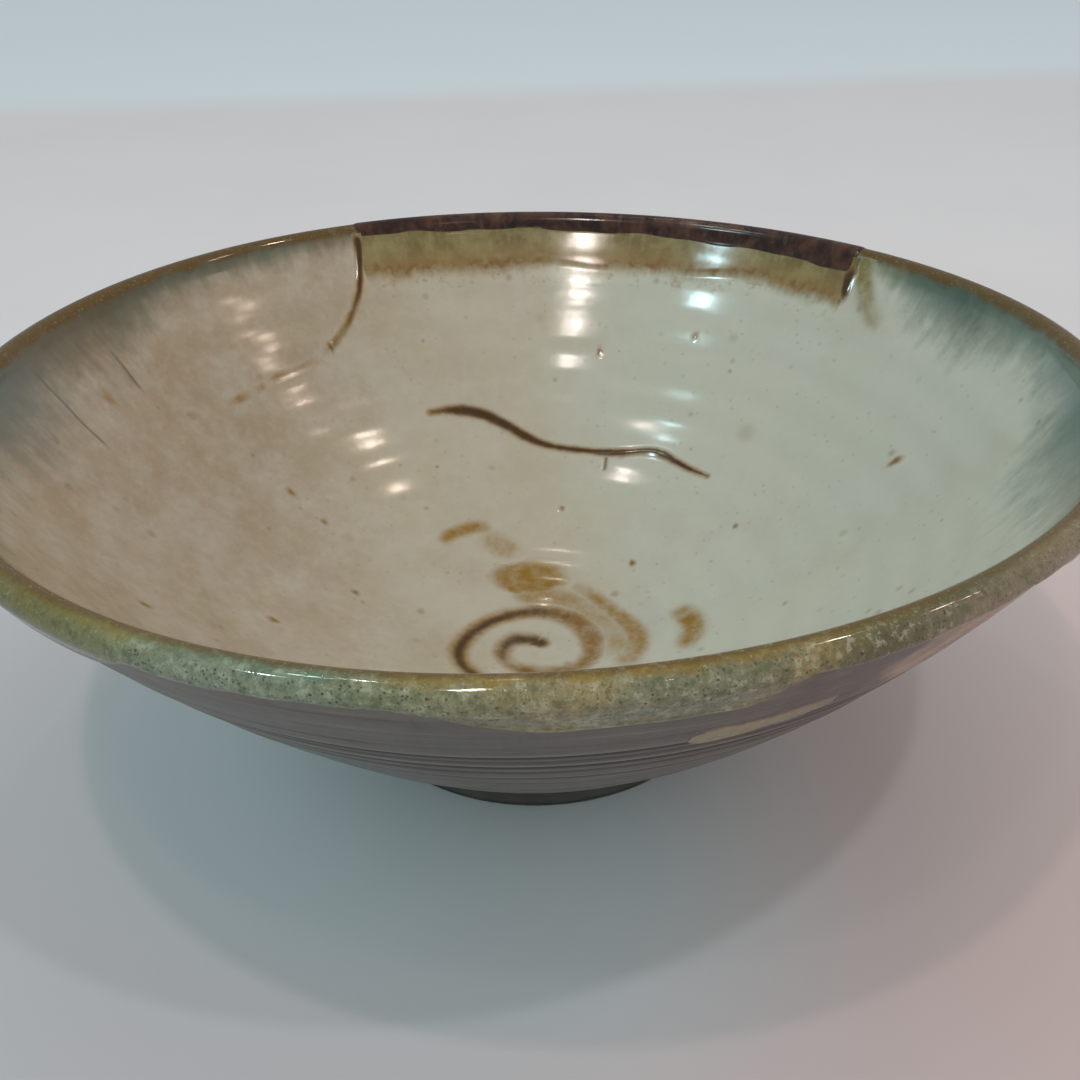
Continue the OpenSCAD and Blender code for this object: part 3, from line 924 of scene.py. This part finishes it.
def wall_line(iron):
    """The S-shaped line across the back wall, with a knot and a short spur."""
    turn = np.linspace(43.5, 113, 140)
    r = 70 + 13 / (1 + np.exp((95 - turn) / 4)) + 2.4 * np.exp(-((turn - 60) / 7) ** 2)
    line = np.stack([r * np.cos(np.radians(turn)), r * np.sin(np.radians(turn))], -1) * MM
    marks = [43.5, 52, 58, 66, 71.5, 75, 86, 93, 99, 105, 109, 113]
    width = np.interp(turn, marks, [0.3, 1.3, 1.8, 1.5, 2.2, 1.3, 1.6, 2.5, 3.2, 2.8, 1.5, 0.3])
    dark = np.interp(turn, [44, 52, 66, 72, 80, 95, 106, 112], [0.6, 1, 0.85, 1, 0.9, 1, 1, 0.4])
    height = np.interp(turn, [44, 52, 60, 70, 76], [0.1, 0.3, 0.34, 0.3, 0.13])
    spur = through([(22.1, 66.2), (21.5, 63.4), (20.8, 61.2)], 20)
    parts = [stroke(line, width, 1.4, height, dark, 0.9), stroke(spur, 1.0, 0.9, 0.10, 0.7, 0.8)]
    make_piece("wall_line_stroke", parts, iron, ["wall_line"])


def floor_spiral(iron, amber):
    """Dark iron in the finger spiral, and the amber that pooled beyond it."""
    line = through([(0.8, 2.2), (-1.6, 3.4), (-6.2, 3.6), (-9.0, 0.4), (-9.5, -4.2),
                    (-6.4, -8.8), (-0.5, -11.2), (6.6, -11.4), (11.6, -8.4), (13.8, -2.4),
                    (13.0, 4.2), (9.2, 10.8), (3.3, 14.6), (-3.3, 15.3), (-11.6, 11.8),
                    (-17.4, 5.8), (-20.5, -0.8), (-20.5, -6.6), (-18.2, -11.4), (-13, -16)], 320)
    width = (4.4, 4.0, 3.0, 2.2, 2.2, 3.0, 4.6, 5.0, 3.8, 3.2, 3.0, 2.8, 2.2)
    dark = (1, 0.9, 0.65, 0.45, 0.3, 0.3, 0.2, 0.4, 0.75, 0.85, 0.85, 0.85, 0.7)
    parts = [stroke(line, width, 3.2, 0.10, dark, (0.7, 0.8, 0.9, 1.0, 1.0, 0.8)),
             blot(-0.2, 2.2, 4.6, 1.3, 0, 1.8, 0.1, 1.0, 0.8)]
    make_piece("floor_spiral_line", parts, iron, ["floor_spiral"])
    pool = through([(-12.6, 23.6), (-8.8, 26.6), (-2.5, 28.0), (4.5, 27.2), (11.5, 24.4)], 80)
    turn = through([(8.0, 26.0), (13.0, 21.8), (16.6, 17.0), (20.6, 10.8), (24.0, 4.2), (25, -2.5),
                    (22.8, -9), (18, -15)], 140)
    outer = through([(35.0, 9.6), (37.8, 3.6), (39.3, -2.2), (37.4, -8.3), (33.3, -13)], 80)
    flick = through([(-28.0, 37.6), (-24.2, 42.0), (-19.6, 44.8), (-15.6, 45.8), (-11.5, 44.5)], 80)
    wash = through([(-17.5, 45), (-12.6, 41.6), (-7.5, 38), (-3.4, 33.5)], 60)
    haze = through([(-10, 21.0), (-1, 21.6), (7, 19.6), (13.5, 14), (19, 6), (20, -3),
                    (17, -11)], 120)
    parts = [stroke(haze, (2, 2, 2, 3, 4, 4), 6.4, 0.02, 0, (0.8, 0.7, 0.55, 0.6)),
             stroke(wash, (1, 2, 4), 6.0, 0.02, 0.0, (0.6, 0.6, 0.8)),
             stroke(pool, (3.5, 5.5, 5.5, 4.0, 1.5), 7.4, 0.07, (0.34, 0.2, 0.08),
                    (1.4, 1.5, 1.3, 0.9)),
             stroke(turn, (0.6, 0.8, 1.4, 3.0, 4.0), 4.4, 0.05, (0.0, 0.25, 0.15, 0),
                    (0.4, 0.9, 0.9, 0.6)),
             stroke(outer, (0.5, 1.2, 1.6, 2.0, 2.4), 5.2, 0.05, (0, 0.2, 0.25, 0.1, 0),
                    (0.8, 1.05, 0.7)),
             stroke(flick, (0.5, 1.0, 1.4, 1.3, 0.7), 3.2, 0.05, (0, 0.25, 0.15, 0),
                    (0.6, 1.0, 0.9, 0.4))]
    make_piece("spiral_tail_amber", parts, amber, ["spiral_tail"])


def pale_streak():
    """Pale glaze lying in one finger line outside, rounded at its left end."""
    az = arc(281.4, 293.5, 110)
    share = np.linspace(0, 1, 110)
    rounded = np.sqrt(np.clip(1 - (1 - share / 0.18).clip(0) ** 2, 0, 1))
    half = 4.9 * MM * rounded * (1 - 0.45 * share ** 2) + 0.1 * MM
    across = np.linspace(-1, 1, 19)[:, None]
    middle = (25.0 + 5.0 * share - 8.4 * share ** 2) * MM
    offset = across * (half + 1.2 * MM)
    off = np.abs(offset) - half
    rise = 0.25 * MM * smooth(-off, -0.2 * MM, 1.6 * MM) - SUNK
    make_piece("pale_streak_pool",
               [coat(k_below_crest(middle + offset), az, GLAZE + rise, GLAZE - ROOT, False,
                     off=off / MM, share=share + 0 * off)],
               pale_glaze(), ["pale_streak"])


# The larger iron specks: place from above in millimetres, size and stretch
SPECKS = [(-64, -12.4, 1.6, 1.3), (26.6, 29.2, 1.3, 1.2), (-66.7, 37.7, 1.3, 1.3),
          (-57.8, 33.4, 1.2, 1.0), (91.6, 15.2, 1.4, 1.9), (50.3, 87.1, 1.1, 1.0),
          (21.8, 92.4, 1.1, 1.0), (54.7, 29.1, 0.8, 1.0), (-83.4, -38.9, 1.2, 1.2),
          (-28.7, -78.9, 1.2, 1.0), (37, -64, 1.5, 1.1), (-30.9, -36.8, 0.9, 1.0),
          (-48, 12, 1.0, 1.3), (8, 52, 0.8, 1.0)]


def specks(iron):
    parts = [blot(x, y, size, longer, 40 + 9 * x, 1.2, 0.08, 0.45, 0.85)
             for x, y, size, longer in SPECKS]
    make_piece("iron_specks", parts, iron)


# ---- Floor, light and camera --------

def floor():
    """A pale table with painted light: cooler at the left and rosier at the right as painted lamp
    tints, a painted pool of cool light that lifts the shadow under the bowl's left half, and darker
    in front than behind as painted shade; with a cooler floor beyond its far edge."""
    n = Nodes("pale_table_painted_light")
    # Cooler at the left and rosier at the right: painted tints of the cool and warm lamps
    near = n.mix(n.step(n.x, -RIM_R * 1.6, RIM_R * 1.6), (191, 196, 198), (202, 181, 175))
    # A painted pool of pale cool light under the bowl's left half, lifting its shadow
    painted_fill_patch = n.times(n.step(n.r, 1.15 * RIM_R, 0.45 * RIM_R), n.step(n.x, 0.7 * RIM_R, 0.0), 0.85)
    near = n.mix(painted_fill_patch, near, (222, 242, 244))
    # Darker in front of the bowl than behind it: painted shade
    table = n.mix(n.step(n.y, -RIM_R * 1.5, RIM_R * 3), near, (219, 216, 215))
    table = n.mix(n.step(n.noise(120, 3), 0.4, 0.7, 0.10), table, (196, 196, 198))
    far = n.step(n.y, RIM_R * 6.6, RIM_R * 7.8)
    material = n.finish(n.mix(far, table, (220, 228, 231)), 0.8)
    half = 4.0
    mesh = bpy.data.meshes.new("table")
    corners = [(-half, -half, 0), (half, -half, 0), (half, half, 0), (-half, half, 0)]
    mesh.from_pydata(corners, [], [(0, 1, 2, 3)])
    mesh.materials.append(material)
    table = bpy.data.objects.new("table", mesh)
    bpy.context.scene.collection.objects.link(table)


def lamp(name, turn, rise, size, power, colour, sparkle=False):
    """A round lamp that faces the bowl from a direction and a height, in degrees. A sparkle
    is only seen in the glaze; the other lamps light the scene and aren't seen in it."""
    light = bpy.data.lights.new(name, "AREA")
    light.shape, light.size, light.energy, light.color = "DISK", size, power, colour
    piece = bpy.data.objects.new(name, light)
    turn, rise = math.radians(turn), math.radians(rise)
    flat = math.cos(rise)
    away = Vector((math.cos(turn) * flat, math.sin(turn) * flat, math.sin(rise)))
    piece.location = away * LAMP_AWAY + Vector((0, 0, LIP_TOP / 2))
    piece.rotation_mode = "QUATERNION"
    piece.rotation_quaternion = away.to_track_quat("Z", "Y")
    piece.visible_diffuse = not sparkle
    piece.visible_glossy = sparkle
    bpy.context.scene.collection.objects.link(piece)


def sky():
    """Soft light from all round, bluer from the left, and dimmer as seen in the glaze."""
    world = bpy.data.worlds.new("room")
    bpy.context.scene.world = world
    world.use_nodes = True
    nodes, links = world.node_tree.nodes, world.node_tree.links
    split = nodes.new("ShaderNodeSeparateXYZ")
    links.new(nodes.new("ShaderNodeTexCoord").outputs["Generated"], split.inputs[0])
    side = nodes.new("ShaderNodeMapRange")
    links.new(split.outputs[0], side.inputs[0])
    side.inputs[1].default_value = -1.0
    tint = nodes.new("ShaderNodeMix")
    tint.data_type = "RGBA"
    tint.inputs[6].default_value, tint.inputs[7].default_value = LEFT_LIGHT, RIGHT_LIGHT
    links.new(side.outputs[0], tint.inputs[0])
    dim = nodes.new("ShaderNodeMath")
    dim.operation = "MULTIPLY_ADD"
    dim.inputs[1].default_value, dim.inputs[2].default_value = -0.6 * SKY, SKY
    links.new(nodes.new("ShaderNodeLightPath").outputs["Is Glossy Ray"], dim.inputs[0])
    background = nodes["Background"]
    links.new(tint.outputs[2], background.inputs[0])
    links.new(dim.outputs[0], background.inputs[1])


# The room's light: its strength, and its colour from the left and from the right
SKY = 0.75
LEFT_LIGHT, RIGHT_LIGHT = (0.74, 0.97, 1.04, 1.0), (1.04, 0.93, 0.91, 1.0)
WARM, ROSY, PINK = (1.0, 0.80, 0.66), (1.0, 0.88, 0.82), (1.0, 0.70, 0.68)
COOL, CYAN, WHITE = (0.60, 0.92, 1.0), (0.84, 0.90, 1.0), (1.0, 0.98, 0.95)

# How far the lamps stand from the bowl
LAMP_AWAY = 1.2
# Lamps that light the scene: direction, rise, size in metres, power and colour
LAMPS = [("key_left", -116, 73, 0.05, 1.6, PINK), ("key_right", -46, 64, 0.05, 1.5, CYAN),
         ("front_lamp", -104, 65, 0.06, 0.35, ROSY), ("right_lamp", 6, 46, 0.30, 0.4, WARM),
         ("left_lamp", -158, 54, 0.30, 0.35, COOL), ("back_lamp", 95, 61, 0.06, 0.3, WHITE)]
# Lamps as they are seen in the glaze
SPARKLES = [("right_low", 6.3, 42.5, 0.035, 0.16, WARM),
            ("right_middle", 7.6, 47.5, 0.045, 0.22, WARM),
            ("right_high", 15.4, 61.4, 0.05, 0.60, WARM),
            ("left_low", -153, 52.2, 0.07, 1.1, COOL),
            ("left_middle", -160.5, 55, 0.04, 0.06, COOL),
            ("left_high", 172.6, 67, 0.05, 0.35, COOL),
            ("left_top", 167.5, 72.5, 0.045, 0.5, ROSY),
            ("front_low", -107.7, 58.5, 0.06, 1.3, ROSY),
            ("front_middle", -108.3, 62.6, 0.045, 0.5, ROSY),
            ("front_high", -108.8, 67, 0.05, 0.5, ROSY),
            ("near_lamp", -65.4, 46.6, 0.03, 0.12, WARM),
            ("back_glint", 95, 61.4, 0.02, 0.15, WARM)]


def lights():
    sky()
    for name, turn, rise, size, power, colour in LAMPS:
        lamp(name, turn, rise, size, power, colour)
    for name, turn, rise, size, power, colour in SPARKLES:
        lamp("seen_" + name, turn, rise, size, power, colour, True)


def camera():
    """Stands in front of the bowl, looking down into it, held a little off level."""
    data = bpy.data.cameras.new("camera")
    data.sensor_width, data.lens = 36, 39.27
    piece = bpy.data.objects.new("camera", data)
    yaw, pitch, roll = math.radians(0.24), math.radians(30.14), math.radians(-2.01)
    flat = math.cos(pitch)
    ahead = Vector((math.sin(yaw) * flat, math.cos(yaw) * flat, -math.sin(pitch)))
    level = Vector((math.cos(yaw), -math.sin(yaw), 0))
    above = level.cross(ahead)
    right = math.cos(roll) * level + math.sin(roll) * above
    up = -math.sin(roll) * level + math.cos(roll) * above
    place = Matrix((right, up, -ahead)).transposed().to_4x4()
    place.translation = Vector((0, -1.99, 1.508)) * RIM_R
    piece.matrix_world = place
    bpy.context.scene.collection.objects.link(piece)
    bpy.context.scene.camera = piece
    bpy.context.scene.view_settings.view_transform = "Standard"


def build():
    iron = iron_over("dark_iron")
    thrown_clay()
    foot()
    inside_coat()
    outside_coat()
    lip_coat()
    band_coat()
    run_coat()
    drips(iron)
    wall_line(iron)
    floor_spiral(iron, iron_over("amber_iron", (134, 96, 22), (152, 120, 42)))
    pale_streak()
    specks(iron)
    floor()
    lights()
    camera()


build()
